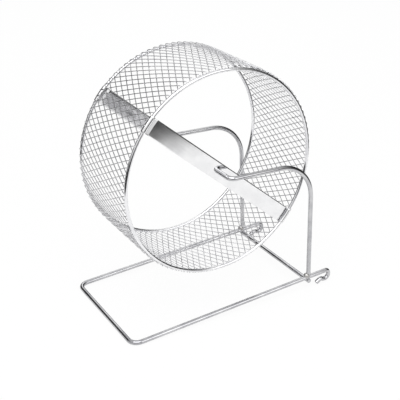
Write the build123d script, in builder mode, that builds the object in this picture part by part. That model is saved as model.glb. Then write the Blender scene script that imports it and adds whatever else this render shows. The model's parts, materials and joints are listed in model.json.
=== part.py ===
from build123d import *
import math
import os

# Wire exercise wheel for a small rodent, in millimetres.
# X runs along the axle, +Y from the front bar to the hooks, +Z up.
# The stand rests on its front bar and on the tips of its two hooks.

# The running drum
hoop_radius = 98.5  # axle to the middle of the hoop wire
hoop_wire = 3.2
drum_width = 92.0  # between the middles of the two hoops
mesh_wire = 0.8
mesh_wires = 96  # in each of the two directions round the drum
mesh_lay = 27.7  # degrees between a mesh wire and the line of the axle
mesh_turn_inner = 0.0  # degrees that the inner layer is turned on the drum
mesh_turn_outer = 0.0  # the same for the outer layer
mesh_nick = 0.3  # room left round a crossbar's end in the inner layer
mesh_crumb = 2.0  # a loose end of a cut wire that is smaller than this many mm3 is left out

# The two crossbars that carry the drum
crossbar_width = 16.0
crossbar_thickness = 0.7
crossbar_angle = -39.7  # degrees from +Y, so the end over the front bar is high
curl_clearance = 0.05  # between a hoop and the strip that is curled round it
curl_tail = 55.0  # degrees that the curl runs on past the hoop's outer side
step_length = 3.9  # where the strip steps inwards, off the hoop's middle plane
step_inset = 2.0  # from the end of that step to the middle of the hoop wire
step_lap = 1.0  # how far the stepped end laps onto the flat strip
spare_turn = 1.0  # degrees turned too far on each side of an end before it is trimmed

# The axle stubs that are the ends of the stand's arms
stand_wire = 4.5
wire_end_round = 0.7
axle_clearance = 0.08  # all round between a stub and its hole in the crossbar
stub_inside = 8.0  # how far a stub reaches into the drum past the crossbar
stub_bend = 6.0

# The stand, in its own frame with the axle as the origin
side_spacing = 121.0  # between the middles of the two side wires
side_drop = 138.4  # axle down to the middle of the side wires
front_reach = 110.3  # axle to the front bar
front_corner = 9.0
upright_reach = 93.2  # axle to the uprights
arm_slope = 4.4  # degrees that an arm falls towards its upright
arm_bend = 41.3
weld_sink = 0.25  # how far two wires are pressed into each other where they are welded
weld_bead = 3.1

# The hooks at the back ends of the side wires
hook_reach = 119.7  # axle to the middle of a hook's outer bend
hook_top_bend = 4.4
hook_low_bend = 5.0
hook_kink_in = 10.3  # from there forward to the kink
hook_kink_drop = 7.8
hook_kink_bend = 3.5
hook_slope = 25.0  # degrees that the return leg falls away from the kink
hook_tip_in = 15.9  # from there forward to the tip
hook_tip_drop = 11.0

# Where a hook's kink, tip and low bend come to, in the stand's own frame
hook_kink_reach = hook_reach - hook_kink_in
hook_tip_reach = hook_reach - hook_tip_in
hook_low_drop = hook_kink_drop + (hook_reach - hook_kink_reach) * math.tan(math.radians(hook_slope))
low_bend_y = hook_reach - hook_low_bend
low_bend_z = hook_low_bend * math.tan(math.radians(45 + hook_slope / 2)) - hook_low_drop - side_drop

# Where a hook's rounded tip comes lowest: the middle of its rounding, in the same frame
tip_slope = math.atan2(hook_tip_drop - hook_kink_drop, hook_kink_reach - hook_tip_reach)
tip_in = stand_wire / 2 - wire_end_round
tip_y = hook_tip_reach + wire_end_round * math.cos(tip_slope) + tip_in * math.sin(tip_slope)
tip_z = wire_end_round * math.sin(tip_slope) - tip_in * math.cos(tip_slope) - hook_tip_drop - side_drop

# How far the stand leans when its front bar and its hooks' tips rest on one flat surface
rest_length = tip_y + front_reach
rest_rise = tip_z + side_drop
lean = math.asin(-tip_in / math.hypot(rest_length, rest_rise)) - math.atan2(rest_rise, rest_length)

# The axle's place, with the lowest line on Z = 0 and the length centred on Y = 0
inner_mesh_radius = hoop_radius + (hoop_wire + mesh_wire) / 2
outer_mesh_radius = inner_mesh_radius + mesh_wire
hub_z = stand_wire / 2 + side_drop * math.cos(lean) + front_reach * math.sin(lean)
front_bar_y = side_drop * math.sin(lean) - front_reach * math.cos(lean) - stand_wire / 2
front_y = min(front_bar_y, -outer_mesh_radius - mesh_wire / 2)
back_y = low_bend_y * math.cos(lean) - low_bend_z * math.sin(lean) + hook_low_bend + stand_wire / 2
hub = Vector(0, -(front_y + back_y) / 2, hub_z)
axle = Axis(hub, (1, 0, 0))


def turned(degrees):
    """The plane through the axle line whose Y direction is turned up from +Y."""
    angle = math.radians(degrees)
    return Plane(origin=hub, x_dir=(1, 0, 0), z_dir=(0, -math.sin(angle), math.cos(angle)))


def on_stand(x, y, z):
    """A point given in the stand's own frame, with the axle as its origin."""
    return turned(math.degrees(lean)).from_local_coords(Vector(x, y, z))


def across(line):
    """The plane square to the start of a line."""
    return Plane(origin=line @ 0, z_dir=line % 0)


# Base wire: front bar, two side wires and a hook at the end of each, all one bent wire
half_spacing = side_spacing / 2
hook_side = [
    (half_spacing, hook_tip_reach, -side_drop - hook_tip_drop),
    (half_spacing, hook_kink_reach, -side_drop - hook_kink_drop),
    (half_spacing, hook_reach, -side_drop - hook_low_drop),
    (half_spacing, hook_reach, -side_drop),
    (half_spacing, -front_reach, -side_drop),
]
base_points = hook_side + [(-x, y, z) for x, y, z in reversed(hook_side)]
base_bends = [hook_kink_bend, hook_low_bend, hook_top_bend, front_corner]
with BuildPart() as base_wire:
    with BuildLine() as base_path:
        FilletPolyline(*[on_stand(*point) for point in base_points], radius=base_bends + base_bends[::-1])
    with BuildSketch(across(base_path.line)):
        Circle(stand_wire / 2)
    sweep()
    fillet(base_wire.faces().filter_by(GeomType.PLANE).edges(), wire_end_round)

# Cross bar welded under the two side wires, below the uprights
cross_bar_half = (side_spacing + stand_wire) / 2
with BuildPart() as cross_bar:
    with BuildLine() as cross_path:
        Line(
            on_stand(-cross_bar_half, upright_reach, weld_sink - side_drop - stand_wire),
            on_stand(cross_bar_half, upright_reach, weld_sink - side_drop - stand_wire),
        )
    with BuildSketch(across(cross_path.line)):
        Circle(stand_wire / 2)
    sweep()
    fillet(cross_bar.faces().filter_by(GeomType.PLANE).edges(), wire_end_round)
    add(base_wire.part, mode=Mode.SUBTRACT)

# Near upright: axle stub, arm and upright are one bent wire whose foot stands on the side wire
crossbar_middle = drum_width / 2
flat_in = crossbar_middle - crossbar_thickness / 2
flat_out = crossbar_middle + crossbar_thickness / 2
arm_fall = upright_reach * math.tan(math.radians(arm_slope))
with BuildPart() as near_upright:
    with BuildLine() as upright_path:
        FilletPolyline(
            on_stand(flat_in - stub_inside, 0, 0),
            on_stand(half_spacing, 0, 0),
            on_stand(half_spacing, upright_reach, -arm_fall),
            on_stand(half_spacing, upright_reach, -side_drop),
            radius=[stub_bend, arm_bend],
        )
    with BuildSketch(across(upright_path.line)):
        Circle(stand_wire / 2)
    sweep()
    fillet(near_upright.faces().filter_by(GeomType.PLANE).sort_by(Axis.X)[0].edges(), wire_end_round)
    add(base_wire.part, mode=Mode.SUBTRACT)

with BuildPart() as far_upright:
    add(mirror(near_upright.part, about=Plane.YZ))

# Weld bead in front of each upright's foot
with BuildPart() as near_weld:
    with Locations(on_stand(half_spacing, upright_reach - stand_wire / 2, stand_wire / 2 - side_drop)):
        Sphere(weld_bead)
    for piece in (base_wire, near_upright, cross_bar):
        add(piece.part, mode=Mode.SUBTRACT)

with BuildPart() as far_weld:
    add(mirror(near_weld.part, about=Plane.YZ))

# Hoops: the two round wires at the drum's edges
with BuildPart() as near_hoop:
    with BuildSketch(turned(0)):
        with Locations((drum_width / 2, hoop_radius)):
            Circle(hoop_wire / 2)
    revolve(axis=axle)

with BuildPart() as far_hoop:
    add(mirror(near_hoop.part, about=Plane.YZ))

# Near crossbar: a flat strip across the near hoop, stepped inwards and curled round it at both ends
curl_inner = hoop_wire / 2 + curl_clearance
curl_outer = curl_inner + crossbar_thickness
step_end = hoop_radius - step_inset
step_start = step_end - step_length
end_turn = math.degrees(math.asin(crossbar_width / 2 / step_start)) + spare_turn
tail = math.radians(curl_tail)
with BuildPart() as near_crossbar:
    for end in (0, 180):
        with BuildSketch(turned(crossbar_angle + end - end_turn)):
            with BuildLine():
                outside = Polyline(
                    (flat_out, step_start - step_lap),
                    (flat_out, step_start),
                    (crossbar_middle - curl_inner, step_end),
                    (crossbar_middle - curl_inner, hoop_radius),
                )
                inside = Polyline(
                    (flat_in, step_start - step_lap),
                    (flat_in, step_start),
                    (crossbar_middle - curl_outer, step_end),
                    (crossbar_middle - curl_outer, hoop_radius),
                )
                Line(outside @ 0, inside @ 0)
                around = CenterArc((crossbar_middle, hoop_radius), curl_inner, 180, -180 - curl_tail)
                over = CenterArc((crossbar_middle, hoop_radius), curl_outer, 180, -180 - curl_tail)
                Line(around @ 1, over @ 1)
            make_face()
        revolve(axis=axle, revolution_arc=2 * end_turn)
    with Locations(turned(crossbar_angle)):
        Box(2 * drum_width, 3 * hoop_radius, crossbar_width, mode=Mode.INTERSECT)
    with BuildSketch(Plane(origin=hub + Vector(flat_in, 0, 0), x_dir=turned(crossbar_angle).y_dir, z_dir=(1, 0, 0))):
        Circle(step_start)
        Rectangle(2 * hoop_radius, crossbar_width, mode=Mode.INTERSECT)
        Circle(stand_wire / 2 + axle_clearance, mode=Mode.SUBTRACT)
    extrude(amount=crossbar_thickness)

with BuildPart() as far_crossbar:
    add(mirror(near_crossbar.part, about=Plane.YZ))


def mesh_wire_at(radius, left):
    """One mesh wire from hoop to hoop, slanting one way round the drum or the other."""
    with BuildPart() as one_wire:
        with BuildLine() as wire_path:
            Helix(
                pitch=2 * math.pi * radius / math.tan(math.radians(mesh_lay)),
                height=drum_width,
                radius=radius,
                center=hub - Vector(drum_width / 2, 0, 0),
                direction=(1, 0, 0),
                lefthand=left,
            )
        with BuildSketch(across(wire_path.line)):
            Circle(mesh_wire / 2)
        sweep(is_frenet=True)
    return one_wire.part


# Drum mesh: an inner layer of slanting wires, and an outer layer that crosses them
inner_wire = mesh_wire_at(inner_mesh_radius, False)
outer_wire = mesh_wire_at(outer_mesh_radius, True)
mesh_step = 360 / mesh_wires
with BuildPart() as mesh_inner_wires:
    add([inner_wire.rotate(axle, mesh_turn_inner + number * mesh_step) for number in range(mesh_wires)])
    for end in (0, 180):
        for face in (-1, 1):
            with Locations(turned(crossbar_angle + end) * Pos(face * crossbar_middle, hoop_radius, 0)):
                Box(
                    2 * (curl_outer + mesh_nick),
                    4 * curl_outer,
                    crossbar_width + 2 * mesh_nick,
                    mode=Mode.SUBTRACT,
                )
    add([crumb for crumb in mesh_inner_wires.solids() if crumb.volume < mesh_crumb], mode=Mode.SUBTRACT)

with BuildPart() as mesh_outer_wires:
    add([outer_wire.rotate(axle, mesh_turn_outer + number * mesh_step) for number in range(mesh_wires)])

pieces = {
    "base_wire": base_wire,
    "cross_bar": cross_bar,
    "near_upright": near_upright,
    "far_upright": far_upright,
    "near_foot_weld": near_weld,
    "far_foot_weld": far_weld,
    "near_hoop": near_hoop,
    "far_hoop": far_hoop,
    "near_crossbar": near_crossbar,
    "far_crossbar": far_crossbar,
    "mesh_inner_wires": mesh_inner_wires,
    "mesh_outer_wires": mesh_outer_wires,
}
os.makedirs("parts", exist_ok=True)
for name, piece in pieces.items():
    piece.part.label = name
    export_step(piece.part, "parts/" + name + ".step")
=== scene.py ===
import json
import math

import bpy
from mathutils import Matrix, Vector


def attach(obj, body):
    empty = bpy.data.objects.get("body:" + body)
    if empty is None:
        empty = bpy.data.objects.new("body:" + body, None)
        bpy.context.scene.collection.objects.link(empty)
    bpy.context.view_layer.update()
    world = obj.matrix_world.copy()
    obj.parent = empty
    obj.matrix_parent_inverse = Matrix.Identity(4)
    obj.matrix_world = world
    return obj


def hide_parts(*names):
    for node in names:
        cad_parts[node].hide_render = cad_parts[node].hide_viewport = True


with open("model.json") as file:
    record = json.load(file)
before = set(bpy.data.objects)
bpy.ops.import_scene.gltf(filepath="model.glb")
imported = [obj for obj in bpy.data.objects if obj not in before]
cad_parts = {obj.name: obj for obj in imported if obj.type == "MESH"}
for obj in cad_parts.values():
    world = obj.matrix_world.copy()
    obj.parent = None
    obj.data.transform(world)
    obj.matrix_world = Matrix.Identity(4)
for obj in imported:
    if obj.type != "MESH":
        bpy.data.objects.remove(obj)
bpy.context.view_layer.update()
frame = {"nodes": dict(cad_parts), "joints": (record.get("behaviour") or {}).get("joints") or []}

MM = 0.001

# Sizes of the drum, in millimetres as in the solids
hoop_radius = 98.5
hoop_wire = 3.2
drum_width = 92.0
mesh_wire = 0.8
mesh_wires = 96
mesh_lay = math.radians(27.7)  # slant of a wire off the axle's direction
mesh_turn_inner = 0.0
mesh_turn_outer = 0.0
crossbar_angle = math.radians(-39.7)
crossbar_width = 16.0
edge_roll = 1.0  # width of a crossbar's rolled edge
edge_fall = 0.35  # how far that edge falls
crossbar_end = 2.65  # how much an inner wire is cut short where it meets a crossbar
landing = 1.4  # length over which an outer wire's end sinks onto the hoop
path_steps = 24  # even stretches in one wire's path
wire_sides = 8  # sides of a mesh wire's section
hub = Vector(next(joint for joint in frame["joints"] if joint["name"] == "wheel_spin")["pos_m"])

# How fine the plating is, where more is finer, and how strongly its streaks stand out
streak_scale = 900.0
cloud_scale = 55.0
wave_scale = 30.0
streak_height = 0.06
edge_power = 2.0  # how a rolled edge's fall grows towards its rim

# The paper floor, in metres, and its share of glow to the camera and in reflections, and where it turns
# dark in reflections only, a painted dark reflection, with the width of that change
paper_size = 6
paper_glow = 0.93
mirrored_glow = 0.3
reflected_dark_start = 0.48
reflected_dark_spread = 0.12
paper_grain = 30.0

# The spot that the lamps shine on, in metres
lit_spot = Vector((0, 0, 0.1))

# The camera, in metres in the part's frame
camera_place = Vector((0.6205, -0.3899, 0.4570))
camera_target = Vector((0.0169, -0.0170, 0.1083))
camera_roll = math.radians(0.52)
camera_lens = 74.0


# Node helpers
def socket_in(tree, name, kind, value):
    made = tree.interface.new_socket(name, in_out="INPUT", socket_type=kind)
    made.default_value = value
    return made


def socket_out(tree, name, kind):
    return tree.interface.new_socket(name, in_out="OUTPUT", socket_type=kind)


def node(tree, kind, values=None, **settings):
    made = tree.nodes.new(kind)
    for key, value in settings.items():
        setattr(made, key, value)
    for key, value in (values or {}).items():
        made.inputs[key].default_value = value
    return made


def link(tree, start, end):
    tree.links.new(start, end)


def plating_group():
    """Plating: broad clouds of tint, with streaks and slow waves along one direction."""
    tree = bpy.data.node_groups.new("plating", "ShaderNodeTree")
    socket_in(tree, "Bright", "NodeSocketColor", (0.86, 0.86, 0.87, 1))
    socket_in(tree, "Dull", "NodeSocketColor", (0.7, 0.7, 0.72, 1))
    socket_in(tree, "Rough Low", "NodeSocketFloat", 0.06)
    socket_in(tree, "Rough High", "NodeSocketFloat", 0.16)
    socket_in(tree, "Turn", "NodeSocketFloat", 0.0)
    socket_in(tree, "Streak Length", "NodeSocketFloat", 1.0)
    socket_in(tree, "Waves", "NodeSocketFloat", 0.0)
    socket_out(tree, "Color", "NodeSocketColor")
    socket_out(tree, "Roughness", "NodeSocketFloat")
    socket_out(tree, "Height", "NodeSocketFloat")
    given = node(tree, "NodeGroupInput")
    place = node(tree, "ShaderNodeTexCoord")
    turned = node(tree, "ShaderNodeVectorRotate", rotation_type="X_AXIS")
    link(tree, place.outputs["Object"], turned.inputs["Vector"])
    link(tree, given.outputs["Turn"], turned.inputs["Angle"])
    squeeze = node(tree, "ShaderNodeCombineXYZ", {"X": 1.0, "Z": 1.0})
    link(tree, given.outputs["Streak Length"], squeeze.inputs["Y"])
    along = node(tree, "ShaderNodeVectorMath", operation="DIVIDE")
    link(tree, turned.outputs["Vector"], along.inputs[0])
    link(tree, squeeze.outputs["Vector"], along.inputs[1])
    streaks = node(tree, "ShaderNodeTexNoise", {"Scale": streak_scale, "Detail": 4.0, "Roughness": 0.6})
    clouds = node(tree, "ShaderNodeTexNoise", {"Scale": cloud_scale, "Detail": 5.0, "Roughness": 0.55})
    waves = node(tree, "ShaderNodeTexNoise", {"Scale": wave_scale, "Detail": 1.0, "Roughness": 0.3})
    link(tree, along.outputs["Vector"], streaks.inputs["Vector"])
    link(tree, place.outputs["Object"], clouds.inputs["Vector"])
    link(tree, along.outputs["Vector"], waves.inputs["Vector"])
    clearing = {"From Min": 0.35, "From Max": 0.7, "To Min": 1.0, "To Max": 0.0}
    spread = node(tree, "ShaderNodeMapRange", clearing)
    link(tree, clouds.outputs["Fac"], spread.inputs["Value"])
    tint = node(tree, "ShaderNodeMix", data_type="RGBA")
    link(tree, spread.outputs["Result"], tint.inputs["Factor"])
    link(tree, given.outputs["Dull"], tint.inputs["A"])
    link(tree, given.outputs["Bright"], tint.inputs["B"])
    both = node(tree, "ShaderNodeMath", operation="MULTIPLY")
    link(tree, streaks.outputs["Fac"], both.inputs[0])
    link(tree, clouds.outputs["Fac"], both.inputs[1])
    rough = node(tree, "ShaderNodeMapRange", {"From Min": 0.12, "From Max": 0.4})
    link(tree, both.outputs["Value"], rough.inputs["Value"])
    link(tree, given.outputs["Rough Low"], rough.inputs["To Min"])
    link(tree, given.outputs["Rough High"], rough.inputs["To Max"])
    swell = node(tree, "ShaderNodeMath", operation="MULTIPLY")
    link(tree, waves.outputs["Fac"], swell.inputs[0])
    link(tree, given.outputs["Waves"], swell.inputs[1])
    height = node(tree, "ShaderNodeMath", {1: streak_height}, operation="MULTIPLY_ADD")
    link(tree, streaks.outputs["Fac"], height.inputs[0])
    link(tree, swell.outputs["Value"], height.inputs[2])
    made = node(tree, "NodeGroupOutput")
    link(tree, tint.outputs["Result"], made.inputs["Color"])
    link(tree, rough.outputs["Result"], made.inputs["Roughness"])
    link(tree, height.outputs["Value"], made.inputs["Height"])
    return tree


def rolled_edge_group():
    """A strip's long edges, rolled over a little where it was slit: a height that falls off to both."""
    tree = bpy.data.node_groups.new("rolled_edge", "ShaderNodeTree")
    socket_in(tree, "Centre", "NodeSocketVector", (0, 0, 0))
    socket_in(tree, "Turn", "NodeSocketFloat", 0.0)
    socket_in(tree, "Flat Half Width", "NodeSocketFloat", 0.007)
    socket_in(tree, "Half Width", "NodeSocketFloat", 0.008)
    socket_in(tree, "Fall", "NodeSocketFloat", 0.0003)
    socket_out(tree, "Height", "NodeSocketFloat")
    given = node(tree, "NodeGroupInput")
    place = node(tree, "ShaderNodeTexCoord")
    from_centre = node(tree, "ShaderNodeVectorMath", operation="SUBTRACT")
    link(tree, place.outputs["Object"], from_centre.inputs[0])
    link(tree, given.outputs["Centre"], from_centre.inputs[1])
    turned = node(tree, "ShaderNodeVectorRotate", rotation_type="X_AXIS")
    link(tree, from_centre.outputs["Vector"], turned.inputs["Vector"])
    link(tree, given.outputs["Turn"], turned.inputs["Angle"])
    split = node(tree, "ShaderNodeSeparateXYZ")
    link(tree, turned.outputs["Vector"], split.inputs["Vector"])
    off = node(tree, "ShaderNodeMath", operation="ABSOLUTE")
    link(tree, split.outputs["Z"], off.inputs[0])
    share = node(tree, "ShaderNodeMapRange")
    link(tree, off.outputs["Value"], share.inputs["Value"])
    link(tree, given.outputs["Flat Half Width"], share.inputs["From Min"])
    link(tree, given.outputs["Half Width"], share.inputs["From Max"])
    curve = node(tree, "ShaderNodeMath", {1: edge_power}, operation="POWER")
    link(tree, share.outputs["Result"], curve.inputs[0])
    drop = node(tree, "ShaderNodeMath", operation="MULTIPLY")
    link(tree, curve.outputs["Value"], drop.inputs[0])
    link(tree, given.outputs["Fall"], drop.inputs[1])
    height = node(tree, "ShaderNodeMath", {1: -1.0}, operation="MULTIPLY")
    link(tree, drop.outputs["Value"], height.inputs[0])
    made = node(tree, "NodeGroupOutput")
    link(tree, height.outputs["Value"], made.inputs["Height"])
    return tree


plating = plating_group()
rolled_edge = rolled_edge_group()


def metal(name, values, bump=0.15, depth=0.0004, edge=None):
    """A plated finish. edge holds the rolled edge's own values, where the piece has one."""
    material = bpy.data.materials.new(name)
    material.use_nodes = True
    tree = material.node_tree
    shader = tree.nodes["Principled BSDF"]
    shader.inputs["Metallic"].default_value = 1.0
    look = node(tree, "ShaderNodeGroup", node_tree=plating)
    for key, value in values.items():
        look.inputs[key].default_value = value
    relief = node(tree, "ShaderNodeBump", {"Strength": bump, "Distance": depth})
    link(tree, look.outputs["Color"], shader.inputs["Base Color"])
    link(tree, look.outputs["Roughness"], shader.inputs["Roughness"])
    link(tree, look.outputs["Height"], relief.inputs["Height"])
    link(tree, relief.outputs["Normal"], shader.inputs["Normal"])
    if edge:
        roll = node(tree, "ShaderNodeGroup", node_tree=rolled_edge)
        for key, value in edge.items():
            roll.inputs[key].default_value = value
        rim = node(tree, "ShaderNodeBump", {"Strength": 1.0, "Distance": 1.0})
        link(tree, roll.outputs["Height"], rim.inputs["Height"])
        link(tree, rim.outputs["Normal"], relief.inputs["Normal"])
    return material


stand_metal = metal(
    "stand_wire",
    {"Bright": (0.6, 0.6, 0.61, 1), "Dull": (0.4, 0.4, 0.42, 1), "Rough Low": 0.02, "Rough High": 0.06},
)
hoop_metal = metal(
    "hoop_wire",
    {"Bright": (0.86, 0.86, 0.87, 1), "Dull": (0.72, 0.72, 0.74, 1), "Rough Low": 0.04, "Rough High": 0.1},
)
mesh_metal = metal(
    "mesh_wire",
    {"Bright": (0.76, 0.76, 0.77, 1), "Dull": (0.58, 0.58, 0.6, 1), "Rough Low": 0.05, "Rough High": 0.14},
)
strip_metal = metal(
    "crossbar_strip",
    {
        "Bright": (0.9, 0.9, 0.905, 1),
        "Dull": (0.8, 0.8, 0.81, 1),
        "Rough Low": 0.04,
        "Rough High": 0.12,
        "Turn": -crossbar_angle,
        "Streak Length": 30.0,
        "Waves": 1.0,
    },
    edge={
        "Centre": hub,
        "Turn": -crossbar_angle,
        "Flat Half Width": (crossbar_width / 2 - edge_roll) * MM,
        "Half Width": crossbar_width / 2 * MM,
        "Fall": edge_fall * MM,
    },
)
weld_metal = metal(
    "weld",
    {"Bright": (0.56, 0.55, 0.54, 1), "Dull": (0.34, 0.33, 0.32, 1), "Rough Low": 0.2, "Rough High": 0.42},
    bump=0.6,
)
metals = {
    "base_wire": stand_metal,
    "cross_bar": stand_metal,
    "near_upright": stand_metal,
    "far_upright": stand_metal,
    "near_foot_weld": weld_metal,
    "far_foot_weld": weld_metal,
    "near_hoop": hoop_metal,
    "far_hoop": hoop_metal,
    "near_crossbar": strip_metal,
    "far_crossbar": strip_metal,
}
for name, material in metals.items():
    piece = frame["nodes"][name]
    piece.data.materials.clear()
    piece.data.materials.append(material)


# Mesh wires: one path from hoop to hoop, which differs where a crossbar's end is curled round the hoop
def wire_path(radius, hand, sink, cut, at_bar):
    """Points of one wire about the axle, in metres. at_bar says which of its two ends meets a crossbar.

    Such an end is cut short by cut, and any other end sinks onto the hoop by sink, both in millimetres.
    """
    half = drum_width / 2
    places = [half * (2 * number / path_steps - 1) for number in range(path_steps + 1)]
    places += [landing - half, half - landing]
    points = []
    for x in sorted(places):
        meets = at_bar[0] if x < 0 else at_bar[1]
        x = max(-half + cut, min(half - cut, x)) if meets else x
        down = 0 if meets else max(0, abs(x) - half + landing) / landing
        reach = radius - sink * down * down * (3 - 2 * down)
        angle = hand * x * math.tan(mesh_lay) / radius
        points.append(Vector((x, reach * math.cos(angle), reach * math.sin(angle))) * MM)
    return points


def path_object(name, points):
    """A line of straight stretches through the given points, for the tree to follow."""
    curve = bpy.data.curves.new(name, "CURVE")
    curve.dimensions = "3D"
    spline = curve.splines.new("POLY")
    spline.points.add(len(points) - 1)
    for point, place in zip(spline.points, points):
        point.co = (*place, 1)
    made = bpy.data.objects.new(name, curve)
    bpy.context.scene.collection.objects.link(made)
    return made


def drum_tree(paths):
    """Gives each wire path its thickness and sets one of them at each point, turned about the axle."""
    tree = bpy.data.node_groups.new("drum_wires", "GeometryNodeTree")
    tree.interface.new_socket("Geometry", in_out="INPUT", socket_type="NodeSocketGeometry")
    radius = socket_in(tree, "Wire Radius", "NodeSocketFloat", 0.0005)
    sides = socket_in(tree, "Wire Sides", "NodeSocketInt", 6)
    finish = tree.interface.new_socket("Material", in_out="INPUT", socket_type="NodeSocketMaterial")
    tree.interface.new_socket("Geometry", in_out="OUTPUT", socket_type="NodeSocketGeometry")
    given = node(tree, "NodeGroupInput")
    section = node(tree, "GeometryNodeCurvePrimitiveCircle")
    link(tree, given.outputs["Wire Sides"], section.inputs["Resolution"])
    link(tree, given.outputs["Wire Radius"], section.inputs["Radius"])
    choices = node(tree, "GeometryNodeGeometryToInstance")
    for path in reversed(paths):
        source = node(tree, "GeometryNodeObjectInfo", {"Object": path})
        wire = node(tree, "GeometryNodeCurveToMesh", {"Fill Caps": True})
        link(tree, source.outputs["Geometry"], wire.inputs["Curve"])
        link(tree, section.outputs["Curve"], wire.inputs["Profile Curve"])
        smooth = node(tree, "GeometryNodeSetShadeSmooth")
        link(tree, wire.outputs["Mesh"], smooth.inputs["Geometry"])
        link(tree, smooth.outputs["Geometry"], choices.inputs["Geometry"])
    kind = node(tree, "GeometryNodeInputNamedAttribute", {"Name": "kind"}, data_type="INT")
    turn = node(tree, "GeometryNodeInputNamedAttribute", {"Name": "turn"}, data_type="FLOAT")
    rotation = node(tree, "ShaderNodeCombineXYZ")
    link(tree, turn.outputs["Attribute"], rotation.inputs["X"])
    place = node(tree, "GeometryNodeInstanceOnPoints", {"Pick Instance": True})
    link(tree, given.outputs["Geometry"], place.inputs["Points"])
    link(tree, choices.outputs["Instances"], place.inputs["Instance"])
    link(tree, kind.outputs["Attribute"], place.inputs["Instance Index"])
    link(tree, rotation.outputs["Vector"], place.inputs["Rotation"])
    real = node(tree, "GeometryNodeRealizeInstances")
    link(tree, place.outputs["Instances"], real.inputs["Geometry"])
    dressed = node(tree, "GeometryNodeSetMaterial")
    link(tree, real.outputs["Geometry"], dressed.inputs["Geometry"])
    link(tree, given.outputs["Material"], dressed.inputs["Material"])
    made = node(tree, "NodeGroupOutput")
    link(tree, dressed.outputs["Geometry"], made.inputs["Geometry"])
    return tree, {"radius": radius.identifier, "sides": sides.identifier, "finish": finish.identifier}


def at_crossbar(angle):
    """Whether a wire that ends at this angle meets a crossbar's curled end."""
    off = math.sin(angle - crossbar_angle) * hoop_radius
    return abs(off) < (crossbar_width + mesh_wire) / 2


def mesh_layer(name, radius, hand, turn, replaced, sink=0.0, cut=0.0):
    """One layer of slanting wires. hand is 1 or -1, the way in which they slant."""
    end_kinds = [(False, False), (True, False), (False, True), (True, True)]
    paths = [
        path_object(f"{name}_path_{number}", wire_path(radius, hand, sink, cut, at_bar))
        for number, at_bar in enumerate(end_kinds)
    ]
    reach = drum_width / 2 * math.tan(mesh_lay) / radius
    first = math.pi / 2 + hand * reach + turn
    turns = [first + math.tau * number / mesh_wires for number in range(mesh_wires)]
    kinds = [
        end_kinds.index((at_crossbar(middle - hand * reach), at_crossbar(middle + hand * reach)))
        for middle in turns
    ]
    seeds = bpy.data.meshes.new(name + "_seeds")
    seeds.from_pydata([tuple(hub)] * mesh_wires, [], [])
    seeds.attributes.new("turn", "FLOAT", "POINT").data.foreach_set("value", turns)
    seeds.attributes.new("kind", "INT", "POINT").data.foreach_set("value", kinds)
    maker = bpy.data.objects.new(name + "_maker", seeds)
    bpy.context.scene.collection.objects.link(maker)
    tree, sockets = drum_tree(paths)
    modifier = maker.modifiers.new("wires", "NODES")
    modifier.node_group = tree
    modifier[sockets["radius"]] = mesh_wire / 2 * MM
    modifier[sockets["sides"]] = wire_sides
    modifier[sockets["finish"]] = mesh_metal
    maker.update_tag()
    bpy.context.view_layer.update()
    evaluated = maker.evaluated_get(bpy.context.evaluated_depsgraph_get())
    baked = bpy.data.meshes.new_from_object(evaluated)
    for spent in [maker, *paths]:
        bpy.data.objects.remove(spent, do_unlink=True)
    layer = bpy.data.objects.new(name, baked)
    bpy.context.scene.collection.objects.link(layer)
    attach(layer, "wheel")
    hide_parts(replaced)


inner_radius = hoop_radius + (hoop_wire + mesh_wire) / 2
outer_radius = inner_radius + mesh_wire
mesh_layer("drum_mesh_inner", inner_radius, 1, mesh_turn_inner, "mesh_inner_wires", cut=crossbar_end)
mesh_layer("drum_mesh_outer", outer_radius, -1, mesh_turn_outer, "mesh_outer_wires", sink=mesh_wire)


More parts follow.
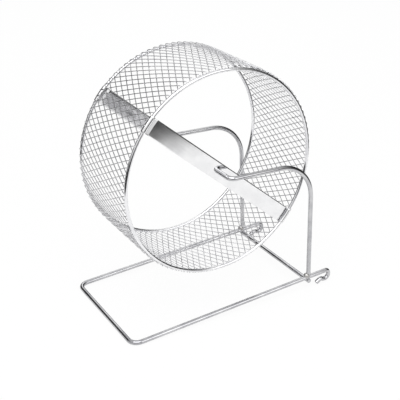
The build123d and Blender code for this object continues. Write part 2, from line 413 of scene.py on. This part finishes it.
def paper_look():
    """White paper to the camera, with a faint shadow left.

    In reflections it glows less, so that the shadow under a wire shows in it, and a little way off it is
    painted dark in reflections only, a painted dark reflection on the wires and crossbars, while the paper
    itself goes on.
    """
    material = bpy.data.materials.new("paper")
    material.use_nodes = True
    tree = material.node_tree
    shader = tree.nodes["Principled BSDF"]
    shader.inputs["Roughness"].default_value = 0.9
    shader.inputs["Specular IOR Level"].default_value = 0.1
    place = node(tree, "ShaderNodeTexCoord")
    grain = node(tree, "ShaderNodeTexNoise", {"Scale": paper_grain, "Detail": 3.0})
    link(tree, place.outputs["Object"], grain.inputs["Vector"])
    pale = node(tree, "ShaderNodeMapRange", {"To Min": 0.92, "To Max": 0.96})
    link(tree, grain.outputs["Fac"], pale.inputs["Value"])
    # Painted dark reflection: the floor's colour falls off with distance from the middle for reflected rays
    # only, and the camera still sees it white.
    away = node(tree, "ShaderNodeVectorMath", operation="LENGTH")
    link(tree, place.outputs["Object"], away.inputs[0])
    uneven = node(tree, "ShaderNodeMath", {1: reflected_dark_spread}, operation="MULTIPLY_ADD")
    link(tree, grain.outputs["Fac"], uneven.inputs[0])
    link(tree, away.outputs["Value"], uneven.inputs[2])
    end = {"From Min": reflected_dark_start, "From Max": reflected_dark_start + reflected_dark_spread, "To Min": 1.0, "To Max": 0.04}
    edge = node(tree, "ShaderNodeMapRange", end)
    link(tree, uneven.outputs["Value"], edge.inputs["Value"])
    rays = node(tree, "ShaderNodeLightPath")
    reflected_shade = node(tree, "ShaderNodeMix", data_type="RGBA")
    reflected_shade.inputs["A"].default_value = (1, 1, 1, 1)
    link(tree, rays.outputs["Is Glossy Ray"], reflected_shade.inputs["Factor"])
    link(tree, edge.outputs["Result"], reflected_shade.inputs["B"])
    shown = node(tree, "ShaderNodeMix", {"Factor": 1.0}, data_type="RGBA", blend_type="MULTIPLY")
    link(tree, reflected_shade.outputs["Result"], shown.inputs["A"])
    link(tree, pale.outputs["Result"], shown.inputs["B"])
    link(tree, shown.outputs["Result"], shader.inputs["Base Color"])
    glow = node(tree, "ShaderNodeEmission", {"Strength": 1.0})
    link(tree, reflected_shade.outputs["Result"], glow.inputs["Color"])
    seen = node(tree, "ShaderNodeMath", {1: paper_glow}, operation="MULTIPLY")
    link(tree, rays.outputs["Is Camera Ray"], seen.inputs[0])
    share = node(tree, "ShaderNodeMath", {1: mirrored_glow}, operation="MULTIPLY_ADD")
    link(tree, rays.outputs["Is Glossy Ray"], share.inputs[0])
    link(tree, seen.outputs["Value"], share.inputs[2])
    mixed = node(tree, "ShaderNodeMixShader")
    link(tree, share.outputs["Value"], mixed.inputs["Fac"])
    link(tree, shader.outputs["BSDF"], mixed.inputs[1])
    link(tree, glow.outputs["Emission"], mixed.inputs[2])
    link(tree, mixed.outputs["Shader"], tree.nodes["Material Output"].inputs["Surface"])
    return material


bpy.ops.mesh.primitive_plane_add(size=paper_size)
floor = bpy.context.object
floor.name = "floor"
floor.data.materials.append(paper_look())


def wall(tree, lift, shades):
    """Grey that changes with height: 0 is straight down, 0.5 the horizon and 1 straight up."""
    made = node(tree, "ShaderNodeValToRGB")
    ramp = made.color_ramp
    straight_down, straight_up = 0.9, 1.0
    for element, shade in zip(ramp.elements, (straight_down, straight_up)):
        element.color = (shade, shade, shade, 1)
    for position, shade in shades:
        ramp.elements.new(position).color = (shade, shade, shade, 1)
    link(tree, lift.outputs["Result"], made.inputs["Fac"])
    return made


def studio_world():
    """White to the camera. Reflections see a bright room on the camera's side and overhead.

    Low down on the far side the room is dark, which draws the dark lines along the wires.
    """
    world = bpy.data.worlds.new("studio")
    world.use_nodes = True
    tree = world.node_tree
    tree.nodes.clear()
    place = node(tree, "ShaderNodeTexCoord")
    split = node(tree, "ShaderNodeSeparateXYZ")
    link(tree, place.outputs["Generated"], split.inputs["Vector"])
    lift = node(tree, "ShaderNodeMapRange", {"From Min": -1.0, "From Max": 1.0})
    link(tree, split.outputs["Z"], lift.inputs["Value"])
    far_wall = wall(tree, lift, ((0.49, 0.3), (0.51, 0.02), (0.74, 0.02), (0.82, 0.3), (0.93, 0.9)))
    near_wall = wall(tree, lift, ((0.49, 0.3), (0.51, 0.2), (0.57, 0.7), (0.7, 0.95)))
    camera_side = Vector((camera_place.x, camera_place.y, 0)).normalized()
    toward = node(tree, "ShaderNodeVectorMath", {1: camera_side}, operation="DOT_PRODUCT")
    link(tree, place.outputs["Generated"], toward.inputs[0])
    side = node(tree, "ShaderNodeMapRange", {"From Min": -0.1, "From Max": 0.45})
    link(tree, toward.outputs["Value"], side.inputs["Value"])
    walls = node(tree, "ShaderNodeMix", data_type="RGBA")
    link(tree, side.outputs["Result"], walls.inputs["Factor"])
    link(tree, far_wall.outputs["Color"], walls.inputs["A"])
    link(tree, near_wall.outputs["Color"], walls.inputs["B"])
    room = node(tree, "ShaderNodeBackground", {"Strength": 1.0})
    link(tree, walls.outputs["Result"], room.inputs["Color"])
    white = node(tree, "ShaderNodeBackground", {"Color": (1, 1, 1, 1), "Strength": 1.0})
    rays = node(tree, "ShaderNodeLightPath")
    choose = node(tree, "ShaderNodeMixShader")
    link(tree, rays.outputs["Is Camera Ray"], choose.inputs["Fac"])
    link(tree, room.outputs["Background"], choose.inputs[1])
    link(tree, white.outputs["Background"], choose.inputs[2])
    out = node(tree, "ShaderNodeOutputWorld")
    link(tree, choose.outputs["Shader"], out.inputs["Surface"])
    return world


bpy.context.scene.world = studio_world()


def soft_light(name, place, size, power):
    """A lamp that shines on the lit spot, with its place and size in metres and its power in watts."""
    data = bpy.data.lights.new(name, "AREA")
    data.shape = "RECTANGLE"
    data.size, data.size_y = size
    data.energy = power
    lamp = bpy.data.objects.new(name, data)
    lamp.location = place
    lamp.rotation_euler = (lit_spot - Vector(place)).to_track_quat("-Z", "Y").to_euler()
    bpy.context.scene.collection.objects.link(lamp)


soft_light("key", (0.5, -0.5, 1.3), (1.2, 1.0), 9)
soft_light("side", (1.3, 0.5, 0.7), (0.8, 0.9), 3)
soft_light("rear", (-1.1, 0.6, 0.9), (1.0, 0.8), 3)

# Camera
camera_data = bpy.data.cameras.new("camera")
camera_data.lens = camera_lens
camera = bpy.data.objects.new("camera", camera_data)
camera.location = camera_place
aim = (camera_target - camera_place).to_track_quat("-Z", "Y").to_matrix()
camera.rotation_euler = (aim @ Matrix.Rotation(camera_roll, 3, "Z")).to_euler()
bpy.context.scene.collection.objects.link(camera)
bpy.context.scene.camera = camera
bpy.context.scene.view_settings.view_transform = "Standard"
